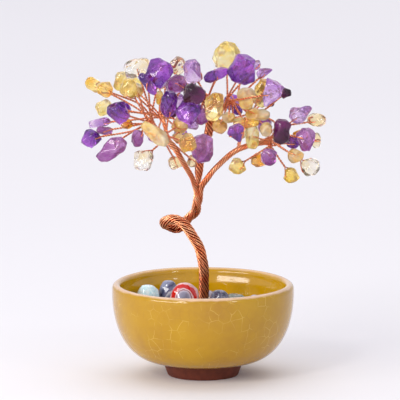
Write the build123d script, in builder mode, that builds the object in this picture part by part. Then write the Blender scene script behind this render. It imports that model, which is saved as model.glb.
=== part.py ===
from build123d import *
from collections import namedtuple
from math import cos, pi, radians, sin, sqrt, tan
import os
import random

import numpy as np

os.makedirs("parts", exist_ok=True)

# Bowl, in mm, as all lengths here
bowl_diameter = 91
bowl_height = 47
bowl_wall = 4.4
bowl_floor = 6
lip_drop = 2.6
belly_flat_diameter = 41
belly_fullness = 2.3
foot_height = 7.2
foot_top_diameter = 40
foot_diameter = 35.4
foot_wall = 3.4
foot_recess = 3.2
belly_bands = 5
inside_bands = 4
lip_bands = 3

# Plaster filling and the socket for the trunk
fill_drop = 15.5
fill_clearance = 0.12
socket_depth = 12
socket_clearance = 0.3

# Tree, as it stands in the front view
crown_width = 122.3
crown_depth = 96
crown_width_px = 246
axis_px = 203
soil_px = 312.4
view_tilt = 10.5

# Wire bundles
strand_radius = 1.2
lay_radius = 1.47
lay_pitch = 36
rings_a_turn = 12
strand_sides = 7
left_fork_angle = 215
middle_fork_angle = left_fork_angle - 120
right_fork_angle = left_fork_angle + 120
limb_radius = 1.45
limb_ring_spacing = 4.2
least_rings = 4
taper_share = 1 / 3
bough_radius = 1.05
knot_radius = 1.6
knot_cap = 0.9
seat_gap = 0.25

# Twigs and chips
twig_radius = 0.43
twig_sides = 5
twig_clearance = 0.12
drill_clearance = 0.13
drill_overrun = 20
stone_clearance = 0.3
stone_step = 0.5
hub_room = 1.5
back_share = 0.03
spot_count = 44
spot_choices = 40
trial_count = 240
run_speck = 0.001
bend_step = 1.5
bend_count = 6
bend_ways = 8
knee_shares = (0.5, 0.3, 0.7)
wobble_share = 0.13

# Pebbles
pebble_length = 13.6
pebble_height = 12
pebble_corners = 5

px = crown_width / crown_width_px
fill_top = bowl_height - fill_drop
chance = random.Random(11)

Stone = namedtuple("Stone", "across_px down_px long_px wide_px lean depth_share form tone hub")
Pebble = namedtuple(
    "Pebble", "name across_share depth_share length_share width_share height_share turn"
)
Ring = namedtuple("Ring", "plane radius")


def place(across_px, down_px, depth_share):
    """A point of the tree from its place in the front view and its depth."""
    depth = depth_share * crown_depth / 2
    rise = (soil_px - down_px) * px / cos(radians(view_tilt))
    rise -= depth * tan(radians(view_tilt))
    return Vector((across_px - axis_px) * px, depth, fill_top + rise)


# Curved profiles of the bowl
def belly_points(inset, low, bands):
    """Points of the belly from its low end up to the lip, on a full, squarish oval."""
    flat = belly_flat_diameter / 2
    top = bowl_height - lip_drop
    wide = bowl_diameter / 2 - flat - inset
    drops = [cos(pi / 2 * step / bands) for step in range(bands)]
    drops.append(0)
    return [
        (flat + wide * (1 - drop**belly_fullness) ** (1 / belly_fullness), top - (top - low) * drop)
        for drop in drops
    ]


inside_low = foot_height + bowl_floor
outer_points = belly_points(0, foot_height, belly_bands)
inner_points = belly_points(bowl_wall, inside_low, inside_bands)
lip_centre = (bowl_diameter / 2 - bowl_wall / 2, bowl_height - lip_drop)
lip_points = [
    (
        lip_centre[0] + bowl_wall / 2 * cos(pi * step / lip_bands),
        lip_centre[1] + lip_drop * sin(pi * step / lip_bands),
    )
    for step in range(1, lip_bands)
]

# Bowl, turned on its axis, with a recessed foot ring
with BuildPart() as bowl:
    with BuildSketch(Plane.XZ):
        with BuildLine():
            Polyline(
                (0, foot_recess),
                (foot_diameter / 2 - foot_wall, foot_recess),
                (foot_diameter / 2 - foot_wall, 0),
                (foot_diameter / 2, 0),
                (foot_top_diameter / 2, foot_height),
                *outer_points,
                *lip_points,
                *reversed(inner_points),
                (0, inside_low),
                close=True,
            )
        make_face()
    revolve(axis=Axis.Z)
bowl.part.label = "bowl"
export_step(bowl.part, "parts/bowl.step")


# Plaster filling, a plug of the bowl's inside with a blind socket for the trunk
def inside_radius(height):
    """Radius of the bowl's inside wall at a height, between its bands."""
    return float(np.interp(height, [z for _, z in inner_points], [r for r, _ in inner_points]))


socket_radius = lay_radius + strand_radius + socket_clearance
fill_low = inside_low + fill_clearance
fill_heights = (fill_low, inner_points[inside_bands // 2][1], fill_top)
with BuildPart() as plaster_fill:
    with BuildSketch(Plane.XZ):
        with BuildLine():
            Polyline(
                (0, fill_low),
                *[(inside_radius(z) - fill_clearance, z) for z in fill_heights],
                (0, fill_top),
                close=True,
            )
        make_face()
    revolve(axis=Axis.Z)
    with BuildSketch(Plane.XY.offset(fill_top)):
        Circle(socket_radius)
    extrude(amount=-socket_depth, mode=Mode.SUBTRACT)
plaster_fill.part.label = "plaster_fill"
export_step(plaster_fill.part, "parts/plaster_fill.step")

# Pebbles: node, place as shares of the bed's radius, size as shares, and turn
bed_radius = inside_radius(fill_top)
pebbles = (
    Pebble("pebble_blue_white", -0.695, 0.353, 1.04, 0.75, 0.96, 10),
    Pebble("pebble_grey_blue", -0.43, 0.53, 0.92, 0.71, 1.04, 0),
    Pebble("pebble_red_banded", -0.23, 0.27, 1.25, 0.71, 1.09, 0),
    Pebble("pebble_navy", 0.21, 0.22, 1, 0.67, 0.82, -5),
    Pebble("pebbles_green_grey", 0.465, 0.25, 0.58, 0.5, 0.62, 0),
    Pebble("pebbles_lavender", 0.655, 0.22, 0.62, 0.5, 0.62, 0),
    Pebble("pebbles_lavender", -0.12, 0.6, 1, 0.7, 0.46, 15),
    Pebble("pebbles_cream", 0.17, 0.52, 0.9, 0.68, 0.4, -20),
    Pebble("pebbles_slate", 0.45, 0.55, 0.88, 0.65, 0.3, 30),
    Pebble("pebbles_cream", 0.7, 0.5, 0.66, 0.56, 0.25, 0),
    Pebble("pebbles_slate", 0.86, 0.12, 0.72, 0.6, 0.25, 80),
    Pebble("pebbles_slate", -0.63, 0.63, 0.72, 0.55, 0.48, 40),
    Pebble("pebbles_green_grey", -0.32, 0.84, 0.7, 0.5, 0.48, 20),
    Pebble("pebbles_lavender", 0.05, 0.87, 0.8, 0.55, 0.4, 0),
    Pebble("pebbles_green_grey", 0.4, 0.81, 0.75, 0.52, 0.3, -25),
    Pebble("pebbles_cream", -0.87, 0.07, 0.72, 0.6, 0.52, 85),
    Pebble("pebbles_slate", -0.6, -0.02, 0.98, 0.76, 0.5, 10),
    Pebble("pebbles_lavender", -0.3, -0.05, 0.8, 0.68, 0.45, -30),
    Pebble("pebbles_green_grey", 0.23, -0.12, 0.8, 0.64, 0.34, 0),
    Pebble("pebbles_lavender", 0.53, -0.08, 0.98, 0.72, 0.27, 5),
    Pebble("pebbles_green_grey", 0.83, -0.22, 0.72, 0.64, 0.25, 70),
    Pebble("pebbles_lavender", -0.82, -0.28, 0.72, 0.6, 0.45, 60),
    Pebble("pebbles_cream", -0.5, -0.38, 0.96, 0.72, 0.42, -15),
    Pebble("pebbles_slate", -0.15, -0.38, 0.9, 0.72, 0.38, 25),
    Pebble("pebbles_cream", 0.18, -0.45, 0.88, 0.72, 0.34, 0),
    Pebble("pebbles_slate", 0.47, -0.42, 0.85, 0.7, 0.28, -20),
    Pebble("pebbles_green_grey", -0.55, -0.7, 0.72, 0.56, 0.38, -45),
    Pebble("pebbles_lavender", -0.25, -0.79, 0.88, 0.62, 0.36, -15),
    Pebble("pebbles_slate", 0.11, -0.82, 0.88, 0.64, 0.34, 0),
    Pebble("pebbles_lavender", 0.45, -0.74, 0.85, 0.62, 0.3, 30),
    Pebble("pebbles_cream", 0.73, -0.48, 0.66, 0.56, 0.27, 50),
)
pebble_ring_shares = ((0, 0.68), (0.35, 1), (0.75, 0.84), (1, 0.42))


def pebble_solid(pebble):
    """A worn pebble that lies flat on the filling."""
    across = pebble.across_share * bed_radius
    depth = pebble.depth_share * bed_radius
    bed = Plane(origin=(across, depth, fill_top)).rotated((0, 0, pebble.turn))
    corners = []
    for level, (rise_share, girth_share) in enumerate(pebble_ring_shares):
        for corner in range(pebble_corners):
            angle = 2 * pi * (corner + level / 2) / pebble_corners
            reach = pebble_length / 2 * girth_share * chance.uniform(1 - wobble_share, 1)
            corners.append(
                bed.from_local_coords(
                    (
                        pebble.length_share * reach * cos(angle),
                        pebble.width_share * reach * sin(angle),
                        pebble.height_share * pebble_height * rise_share,
                    )
                )
            )
    with BuildPart() as stone_part:
        ConvexPolyhedron(corners)
    return stone_part.part


def group(name, pieces):
    """Like pieces kept in one node, each a solid of its own."""
    with BuildPart() as gathered:
        add(pieces)
    gathered.part.label = name
    export_step(gathered.part, f"parts/{name}.step")


pebble_groups = {}
for pebble in pebbles:
    pebble_groups.setdefault(pebble.name, []).append(pebble_solid(pebble))
for name, pieces in pebble_groups.items():
    group(name, pieces)

# Trunk centreline from the fork down to its foot, through the loop
fork = place(198, 190, 0)
trunk_px = (
    (198, 198, 0.01),
    (197, 207, 0.06),
    (193, 214, 0.11),
    (187, 220, 0.145),
    (178, 226, 0.155),
    (168.5, 226, 0.125),
    (163.5, 223, 0.065),
    (167.5, 220, 0.005),
    (175.5, 219, -0.02),
    (182.5, 222.5, -0.025),
    (187, 227.5, -0.02),
    (193.5, 237, -0.01),
    (199, 247, 0),
    (202, 257, 0),
    (203.6, 268, 0),
    (204, 285, 0),
)
trunk_foot = Vector(0, 0, fill_top - socket_depth + seat_gap)
trunk_points = [fork, *[place(*spot) for spot in trunk_px], Vector(0, 0, fill_top), trunk_foot]

# Routes of the three limbs above the fork, and the hubs where twigs fan out
left_limb_px = (
    (193.5, 180, -0.06),
    (188.5, 171, -0.12),
    (182, 160, -0.17),
    (174, 147, -0.19),
    (164, 137, -0.16),
    (156.5, 129, -0.13),
    (149, 121, -0.1),
)
middle_limb_px = (
    (198.5, 179, 0.04),
    (199, 167, 0.06),
    (202, 152, 0.06),
    (207, 138, 0.04),
    (210, 124, 0.02),
    (209, 110, 0),
    (206, 95, 0),
)
right_limb_px = (
    (204, 181.5, -0.04),
    (212, 171.5, -0.06),
    (221, 162.5, -0.07),
    (231, 153.5, -0.08),
    (243, 147, -0.09),
    (257, 143, -0.1),
    (271, 141, -0.1),
)
crown_bough_px = ((217, 115, 0.05), (223.5, 107, 0.04), (230, 100, 0.02))
back_left_bough_px = ((171, 146, 0.06), (166, 131, 0.24), (162, 114, 0.36))
back_right_bough_px = ((240, 139, 0.1), (247, 126, 0.27), (251, 112, 0.38))

hub_places = {
    "far_left": place(149, 121, -0.1),
    "near_left": place(164, 137, -0.16),
    "back_left": place(162, 114, 0.36),
    "top": place(206, 95, 0),
    "crown": place(230, 100, 0.02),
    "right": place(271, 141, -0.1),
    "back_right": place(251, 112, 0.38),
}
regions = {
    "far_left": "left",
    "near_left": "left",
    "back_left": "left",
    "top": "middle",
    "crown": "middle",
    "right": "right",
    "back_right": "right",
}


def carried_planes(path, count, first_side):
    """Planes square to a path, evenly spaced, that turn about it as little as they can."""
    planes = []
    side = first_side
    for step in range(count + 1):
        point = path.position_at(path.length * step / count, PositionMode.LENGTH)
        along = path.tangent_at(path.length * step / count, PositionMode.LENGTH)
        side = (side - along * side.dot(along)).normalized()
        planes.append(Plane(origin=point, x_dir=side, z_dir=along))
    return planes


# Three strands laid round the trunk's centreline
trunk_path = Spline(trunk_points)
ring_count = round(trunk_path.length / lay_pitch * rings_a_turn)
trunk_planes = carried_planes(trunk_path, ring_count, Vector(1, 0, 0))


def trunk_rings(fork_angle):
    """Rings of one strand from the trunk's foot up to the fork."""
    rings = []
    for step, plane in enumerate(trunk_planes):
        angle = radians(fork_angle + 360 * step / rings_a_turn)
        upright = Plane(origin=plane.origin, x_dir=plane.x_dir, z_dir=-plane.z_dir)
        spot = upright.from_local_coords((lay_radius * cos(angle), lay_radius * sin(angle), 0))
        rings.append(Ring(Plane(spot, upright.x_dir, upright.z_dir), strand_radius))
    return rings[::-1]


def limb_rings(start, route, low_radius, high_radius, knots=()):
    """Rings of a wire bundle along its route, swelling at each knot and capped at its end."""
    path = Spline([start.origin, *route], tangents=[start.z_dir, route[-1] - route[-2]])
    count = max(least_rings, round(path.length / limb_ring_spacing))
    planes = carried_planes(path, count, start.x_dir)
    rings = []
    for step, plane in enumerate(planes[1:], start=1):
        blend = min(1, step / count / taper_share)
        radius = low_radius + (high_radius - low_radius) * blend
        near = min([(plane.origin - knot).length for knot in knots], default=limb_ring_spacing)
        swell = max(0, 1 - near / limb_ring_spacing)
        rings.append(Ring(plane, radius + (knot_radius - radius) * swell))
    tip = planes[-1].offset(knot_cap)
    rings.append(Ring(tip, knot_radius / 2))
    return rings


def wire_bundle(name, rings):
    """A bundle of wires as a ruled loft through its rings."""
    with BuildPart() as bundle:
        for ring in rings:
            with BuildSketch(ring.plane):
                RegularPolygon(radius=ring.radius, side_count=strand_sides)
        loft(ruled=True)
    bundle.part.label = name
    export_step(bundle.part, f"parts/{name}.step")


def limb(name, fork_angle, limb_px, knots):
    """One strand of the trunk with the limb that it becomes above the fork."""
    lower = trunk_rings(fork_angle)
    route = [place(*spot) for spot in limb_px]
    rings = lower + limb_rings(lower[-1].plane, route, strand_radius, limb_radius, knots)
    wire_bundle(name, rings)
    return rings


def bough(name, parent, bough_px):
    """A smaller bundle seated beside its limb, running to a hub of its own."""
    route = [place(*spot) for spot in bough_px]
    root = min(parent, key=lambda ring: (ring.plane.origin - route[0]).length)
    away = (route[0] - root.plane.origin).normalized()
    side = away.cross(Vector(0, 1, 0)).normalized()
    seat = root.plane.origin + away * (root.radius + seat_gap)
    start = Plane(origin=seat, x_dir=side, z_dir=away)
    rings = [Ring(start, bough_radius)]
    rings += limb_rings(start, route, bough_radius, bough_radius, [route[-1]])
    wire_bundle(name, rings)
    return rings


left_hubs = [hub_places["near_left"], hub_places["far_left"]]
left_rings = limb("left_limb", left_fork_angle, left_limb_px, left_hubs)
middle_rings = limb("middle_limb", middle_fork_angle, middle_limb_px, [hub_places["top"]])
right_rings = limb("right_limb", right_fork_angle, right_limb_px, [hub_places["right"]])
crown_rings = bough("crown_bough", middle_rings, crown_bough_px)
back_left_rings = bough("back_left_bough", left_rings, back_left_bough_px)
back_right_rings = bough("back_right_bough", right_rings, back_right_bough_px)
bundles = (left_rings, middle_rings, right_rings, crown_rings, back_left_rings, back_right_rings)

# Outlines of the chip forms: places along the chip with the girth there, both as shares
form_shares = {
    "pebble": ((-0.95, 0.5), (-0.4, 1), (0.4, 0.95), (0.95, 0.45)),
    "block": ((-1, 0.72), (-0.62, 1), (0.6, 0.95), (1, 0.62)),
    "drop": ((-1, 0.2), (-0.35, 0.68), (0.38, 1), (0.95, 0.5)),
    "barrel": ((-1, 0.5), (-0.5, 0.95), (0.5, 1), (1, 0.55)),
    "slab": ((-1, 0.6), (-0.6, 1), (0.6, 0.95), (1, 0.5)),
    "wedge": ((-1, 0.14), (-0.35, 0.55), (0.4, 0.9), (0.95, 0.8)),
}
thickness_shares = {
    "pebble": 0.85, "block": 0.9, "drop": 0.8, "barrel": 0.95, "slab": 0.8, "wedge": 0.7,
}
chip_corners = 4
corner_reach_share = 1.22
chip_swing = 16

# Chips: place, size and lean in the front view, depth as a share, form, tone and hub
stones = (
    Stone(94, 84, 19, 12, -30, 0.08, "slab", "honey", "far_left"),
    Stone(105, 90, 18, 15, -50, -0.2, "pebble", "honey", "far_left"),
    Stone(104, 108, 17, 16, 20, 0.2, "block", "lemon", "back_left"),
    Stone(119, 112.5, 23, 18, -55, -0.35, "block", "violet", "far_left"),
    Stone(126, 123, 13, 12, 90, -0.12, "pebble", "honey", "far_left"),
    Stone(99, 122, 22, 9, 10, 0.15, "slab", "lilac", "back_left"),
    Stone(104, 130, 17, 8, -10, 0.05, "slab", "mauve", "far_left"),
    Stone(90, 138, 18, 17, 60, -0.1, "block", "violet", "far_left"),
    Stone(111, 150, 35, 17, 38, -0.4, "barrel", "mauve", "far_left"),
    Stone(137, 138, 17, 12, 90, -0.25, "barrel", "mauve", "far_left"),
    Stone(155, 134, 32, 14, -40, -0.5, "barrel", "peach", "near_left"),
    Stone(143, 160, 21, 17, 80, -0.2, "block", "clear", "near_left"),
    Stone(176, 162, 19, 13, 0, 0.15, "pebble", "clear", "near_left"),
    Stone(180, 124, 20, 15, 90, 0.15, "pebble", "peach", "near_left"),
    Stone(178, 137, 13, 10, 0, 0.02, "pebble", "peach", "near_left"),
    Stone(188, 143, 19, 18, 0, -0.55, "pebble", "honey", "near_left"),
    Stone(202, 148, 29, 21, 100, -0.25, "barrel", "mauve", "near_left"),
    Stone(193, 160, 14, 12, 90, 0.22, "pebble", "clear", "near_left"),
    Stone(137, 67, 26, 17, 20, 0, "block", "clear", "far_left"),
    Stone(120, 80, 20, 14, 90, 0.25, "slab", "lemon", "back_left"),
    Stone(129, 88, 21, 18, 90, -0.2, "pebble", "lemon", "far_left"),
    Stone(137, 90, 15, 14, 0, 0.1, "pebble", "peach", "far_left"),
    Stone(159, 73, 28, 25, 60, -0.2, "block", "violet", "far_left"),
    Stone(148, 84, 26, 9, -50, -0.4, "slab", "violet", "far_left"),
    Stone(178, 65, 20, 16, 70, 0.15, "pebble", "clear", "back_left"),
    Stone(192, 71, 23, 18, 100, -0.1, "block", "lilac", "top"),
    Stone(176, 84, 21, 18, 20, 0.1, "block", "mauve", "top"),
    Stone(194, 94, 22, 19, -20, -0.55, "block", "plum", "top"),
    Stone(169, 104, 28, 15, 85, -0.25, "barrel", "violet", "near_left"),
    Stone(189, 111, 23, 21, 60, -0.3, "block", "violet", "top"),
    Stone(201, 116, 18, 14, 80, -0.15, "pebble", "mauve", "top"),
    Stone(160, 97, 17, 9, 90, 0.2, "slab", "lemon", "back_left"),
    Stone(192, 124, 16, 9, 0, 0.28, "slab", "lilac", "back_left"),
    Stone(227, 55, 29, 25, 80, -0.05, "pebble", "lemon", "crown"),
    Stone(216, 75, 27, 11, 20, -0.35, "slab", "violet", "top"),
    Stone(243, 69, 28, 25, 70, -0.25, "block", "violet", "crown"),
    Stone(257, 64, 12, 8, 80, 0.1, "pebble", "lilac", "crown"),
    Stone(265, 72, 18, 11, 200, 0, "drop", "lilac", "crown"),
    Stone(263, 92, 31, 19, 80, 0.25, "pebble", "honey", "back_right"),
    Stone(247, 98, 22, 18, 90, -0.15, "barrel", "peach", "crown"),
    Stone(271, 94, 29, 24, 65, -0.35, "wedge", "lilac", "crown"),
    Stone(286, 92, 13, 12, 0, 0.08, "pebble", "plum", "back_right"),
    Stone(215, 107, 29, 18, 80, -0.35, "barrel", "honey", "top"),
    Stone(229, 117, 15, 11, 0, -0.25, "pebble", "peach", "crown"),
    Stone(220, 126, 16, 14, 0, -0.15, "pebble", "peach", "crown"),
    Stone(238, 108, 15, 13, 80, 0.25, "pebble", "violet", "crown"),
    Stone(246, 123, 27, 10, 0, -0.35, "slab", "honey", "crown"),
    Stone(237, 134, 20, 16, 110, -0.35, "wedge", "violet", "crown"),
    Stone(252, 137, 24, 14, 90, -0.1, "barrel", "lemon", "right"),
    Stone(266, 129, 16, 13, 90, -0.25, "pebble", "peach", "right"),
    Stone(258, 114, 25, 12, 0, 0, "slab", "peach", "crown"),
    Stone(282, 131, 24, 18, 90, -0.4, "block", "plum", "right"),
    Stone(301, 113, 26, 18, 215, -0.1, "drop", "lilac", "right"),
    Stone(317, 120, 20, 14, 0, 0.05, "pebble", "clear", "right"),
    Stone(306, 139, 25, 16, 90, -0.2, "barrel", "mauve", "right"),
    Stone(293, 141, 16, 14, 90, -0.05, "pebble", "violet", "right"),
    Stone(317, 140, 17, 10, 90, 0.12, "pebble", "clear", "right"),
    Stone(296, 156, 18, 13, 0, -0.1, "pebble", "peach", "right"),
    Stone(311, 166, 20, 17, 0, 0.05, "pebble", "clear", "right"),
    Stone(291, 175, 17, 14, 90, -0.15, "pebble", "lemon", "right"),
    Stone(269, 157, 18, 14, 90, -0.35, "barrel", "mauve", "right"),
    Stone(260, 160, 19, 14, 0, 0, "pebble", "honey", "right"),
    Stone(237, 166, 19, 15, 90, -0.2, "pebble", "lemon", "right"),
    Stone(121, 108, 18, 15, 30, 0.6, "block", "violet", "back_left"),
    Stone(155, 135, 20, 14, -40, 0.62, "barrel", "mauve", "back_left"),
    Stone(160, 77, 20, 17, 20, 0.78, "block", "honey", "back_left"),
    Stone(177, 100, 18, 15, 60, 0.62, "pebble", "lilac", "back_left"),
    Stone(181, 130, 19, 14, 90, 0.75, "pebble", "violet", "back_left"),
    Stone(132, 85, 20, 16, 50, 0.6, "pebble", "lemon", "back_left"),
    Stone(187, 82, 18, 14, -30, 0.45, "barrel", "violet", "back_left"),
    Stone(171, 110, 17, 13, 80, 0.42, "pebble", "plum", "back_left"),
    Stone(225, 60, 20, 15, 60, 0.4, "block", "clear", "top"),
    Stone(241, 67, 20, 16, 80, 0.6, "block", "mauve", "back_right"),
    Stone(233, 100, 18, 15, 0, 0.85, "pebble", "violet", "back_right"),
    Stone(248, 97, 20, 15, 90, 0.5, "pebble", "lemon", "back_right"),
    Stone(269, 95, 20, 16, 60, 0.75, "block", "plum", "back_right"),
    Stone(265, 124, 18, 14, 80, 0.6, "barrel", "mauve", "back_right"),
    Stone(246, 124, 18, 14, 90, 0.85, "pebble", "peach", "back_right"),
    Stone(281, 132, 18, 14, 80, 0.72, "barrel", "violet", "back_right"),
    Stone(300, 136, 16, 13, 80, 0.4, "pebble", "honey", "right"),
    Stone(214, 122, 16, 13, 20, 0.6, "pebble", "lilac", "back_right"),
    Stone(240, 131, 17, 13, 90, 0.6, "pebble", "clear", "back_right"),
)


def even_directions(count):
    """Directions spread evenly over a sphere."""
    turn = pi * (3 - sqrt(5))
    rises = [1 - (2 * step + 1) / count for step in range(count)]
    return [
        Vector(sqrt(1 - rise**2) * cos(turn * step), sqrt(1 - rise**2) * sin(turn * step), rise)
        for step, rise in enumerate(rises)
    ]


trial_axes = np.array([tuple(way) for way in even_directions(trial_count) if way.Z >= 0]).T
hub_spots = [np.array(tuple(way)) for way in even_directions(spot_count)]


def clear_of(points, others, gap):
    """Whether some plane parts two sets of points by the gap."""
    line = others.mean(axis=0) - points.mean(axis=0)
    axes = np.column_stack([trial_axes, line / np.linalg.norm(line)])
    reach = points @ axes
    other_reach = others @ axes
    ahead = other_reach.min(axis=0) - reach.max(axis=0)
    behind = reach.min(axis=0) - other_reach.max(axis=0)
    return bool(np.maximum(ahead, behind).max() > gap)


def chip_shape(stone):
    """Corners of a chip about its middle: rings of corners along its length, each a little off."""
    tilt = chance.uniform(-chip_swing, chip_swing)
    roll = chance.uniform(0, 360 / chip_corners)
    lean = radians(stone.lean)
    along = Vector(cos(lean), sin(radians(tilt)), sin(lean)).normalized()
    frame = Plane(origin=(0, 0, 0), x_dir=Vector(0, 1, 0).cross(along), z_dir=along)
    corners = []
    for level, (place_share, girth_share) in enumerate(form_shares[stone.form]):
        for corner in range(chip_corners):
            angle = radians(roll + 360 * (corner + level / 2) / chip_corners)
            reach = girth_share * corner_reach_share * px / 2
            reach *= chance.uniform(1 - wobble_share, 1 + wobble_share)
            wide = stone.wide_px * reach * cos(angle)
            thick = stone.wide_px * thickness_shares[stone.form] * reach * sin(angle)
            length = stone.long_px * px / 2 * place_share
            corners.append(frame.from_local_coords((wide, thick, length)))
    return np.array([tuple(corner) for corner in corners])


# Bundles as chains of short runs that chips and twigs keep clear of
bundle_starts = np.array([tuple(ring.plane.origin) for rings in bundles for ring in rings[:-1]])
bundle_ends = np.array([tuple(ring.plane.origin) for rings in bundles for ring in rings[1:]])
bundle_radii = np.array([ring.radius for rings in bundles for ring in rings[:-1]])
hub_middles = [np.array(tuple(hub)) for hub in hub_places.values()]


def run_gaps(start, end, starts, ends):
    """Least distances between a straight run and each of a set of straight runs."""
    way = end - start
    ways = ends - starts
    apart = start - starts
    length = way @ way
    lengths = (ways * ways).sum(axis=1)
    both = ways @ way
    own = apart @ way
    theirs = (ways * apart).sum(axis=1)
    spread = np.maximum(length * lengths - both * both, run_speck**3)
    along = np.clip((both * theirs - own * lengths) / spread, 0, 1)
    across = np.clip((both * along + theirs) / lengths, 0, 1)
    along = np.clip((both * across - own) / length, 0, 1)
    gaps = start + along[:, None] * way - starts - across[:, None] * ways
    return np.linalg.norm(gaps, axis=1)


def farthest(corners):
    """How far a chip's corners reach from its middle."""
    return np.linalg.norm(corners - corners.mean(axis=0), axis=1).max()


def chip_is_clear(corners, taken):
    """Whether a chip clears the bundles, the hubs and the chips placed before it."""
    middle = corners.mean(axis=0)
    reach = farthest(corners)
    for hub in hub_middles:
        if not clear_of(corners, hub[None, :], knot_radius + hub_room):
            return False
    middles = (bundle_starts + bundle_ends) / 2
    close = np.linalg.norm(middles - middle, axis=1) < reach + limb_ring_spacing
    for start, end, radius in zip(bundle_starts[close], bundle_ends[close], bundle_radii[close]):
        if not clear_of(corners, np.array([start, end]), radius + stone_clearance):
            return False
    for other in taken:
        apart = np.linalg.norm(other.mean(axis=0) - middle)
        if apart < reach + farthest(other) + stone_clearance:
            if not clear_of(corners, other, stone_clearance):
                return False
    return True


def settle(stone, taken):
    """Corners of a chip, moved away from the tree's middle until it clears what stands there."""
    shape = chip_shape(stone)
    step = stone_step / (crown_depth / 2)
    outward = 1 if stone.depth_share > back_share else -1
    for count in range(round(crown_depth / stone_step)):
        depth_share = stone.depth_share + outward * step * count
        corners = shape + np.array(tuple(place(stone.across_px, stone.down_px, depth_share)))
        if chip_is_clear(corners, taken):
            return corners
    print("no room for the chip at", stone.across_px, stone.down_px)
    return corners


chip_corner_sets = []
for stone in stones:
    chip_corner_sets.append(settle(stone, chip_corner_sets))
chip_middles = np.array([corners.mean(axis=0) for corners in chip_corner_sets])
chip_reaches = np.array([farthest(corners) for corners in chip_corner_sets])


# Twigs from the hubs to the chips
def run_is_clear(start, end, own, starts, ends, radii):
    """Whether a straight run of a twig clears the bundles, the other twigs and the chips."""
    if (run_gaps(start, end, starts, ends) < radii + twig_radius + twig_clearance).any():
        return False
    gaps = run_gaps(start, end, chip_middles, chip_middles + run_speck)
    for index in np.flatnonzero(gaps < chip_reaches + twig_radius + twig_clearance):
        if index != own:
            run = np.array([start, end])
            if not clear_of(run, chip_corner_sets[index], twig_radius + twig_clearance):
                return False
    return True


def bends(seat, middle):
    """Places for a twig's bend, from a straight twig to ever wider bends on every side."""
    aim = middle - seat
    side = np.cross(aim, (0, 0, 1))
    side /= np.linalg.norm(side)
    rise = np.cross(side, aim)
    rise /= np.linalg.norm(rise)
    for count in range(bend_count):
        for share in knee_shares if count else knee_shares[:1]:
            for way in range(bend_ways if count else 1):
                angle = 2 * pi * way / bend_ways
                shift = (rise * cos(angle) + side * sin(angle)) * bend_step * count
                yield count, seat + aim * share + shift


def twig_route(index, stone, starts, ends, radii):
    """A twig's points: its seat at the hub, its bend and its end in the chip's middle."""
    middle = chip_middles[index]
    hub = np.array(tuple(hub_places[stone.hub]))
    aim = (middle - hub) / np.linalg.norm(middle - hub)
    seats = sorted(hub_spots, key=lambda spot: -aim @ spot)[:spot_choices]
    for wanted in range(bend_count):
        for spot in seats:
            seat = hub + spot * (knot_radius + seat_gap + twig_radius)
            for count, knee in bends(seat, middle):
                if count != wanted:
                    continue
                if run_is_clear(seat, knee, index, starts, ends, radii):
                    if run_is_clear(knee, middle, index, starts, ends, radii):
                        return seat, knee, middle
    print("no clear way to the chip at", stone.across_px, stone.down_px)
    return seat, knee, middle


taken_starts, taken_ends, taken_radii = bundle_starts, bundle_ends, bundle_radii
routes = []
nearest_first = sorted(
    range(len(stones)),
    key=lambda index: np.linalg.norm(chip_middles[index] - tuple(hub_places[stones[index].hub])),
)
for index in nearest_first:
    route = twig_route(index, stones[index], taken_starts, taken_ends, taken_radii)
    taken_starts = np.vstack([taken_starts, route[:2]])
    taken_ends = np.vstack([taken_ends, route[1:]])
    taken_radii = np.append(taken_radii, [twig_radius, twig_radius])
    routes.append((index, tuple(Vector(*point) for point in route)))
twig_routes = [route for _, route in sorted(routes, key=lambda pair: pair[0])]


def twig(route):
    """A twig: a twisted pair of wires as a thin rod with one bend."""
    seat, knee, middle = route
    first = (knee - seat).normalized()
    last = (middle - knee).normalized()
    side = first.cross(Vector(0, 0, 1)).normalized()
    with BuildPart() as rod:
        for point, along in ((seat, first), (knee, (first + last).normalized()), (middle, last)):
            across = side - along * side.dot(along)
            with BuildSketch(Plane(origin=point, x_dir=across, z_dir=along)):
                RegularPolygon(radius=twig_radius, side_count=twig_sides)
        loft(ruled=True)
    return rod.part


def chip(corners, route):
    """A tumbled chip with its drilled hole, which ends just past the chip's middle."""
    _, knee, middle = route
    along = (middle - knee).normalized()
    with BuildPart() as stone_part:
        ConvexPolyhedron([Vector(*corner) for corner in corners])
        with BuildSketch(Plane(origin=middle + along * drill_clearance, z_dir=-along)):
            RegularPolygon(radius=twig_radius + drill_clearance, side_count=twig_sides)
        extrude(amount=drill_overrun, mode=Mode.SUBTRACT)
    return stone_part.part


twig_groups = {}
chip_groups = {}
for stone, corners, route in zip(stones, chip_corner_sets, twig_routes):
    twig_groups.setdefault(f"{stone.hub}_twigs", []).append(twig(route))
    chip_name = f"{stone.tone}_chips_{regions[stone.hub]}"
    chip_groups.setdefault(chip_name, []).append(chip(corners, route))
for name, pieces in {**twig_groups, **chip_groups}.items():
    group(name, pieces)
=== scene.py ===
from math import cos, pi, radians, sin

import bmesh
import bpy
import numpy as np
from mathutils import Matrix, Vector, noise
from mathutils.bvhtree import BVHTree


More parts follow.
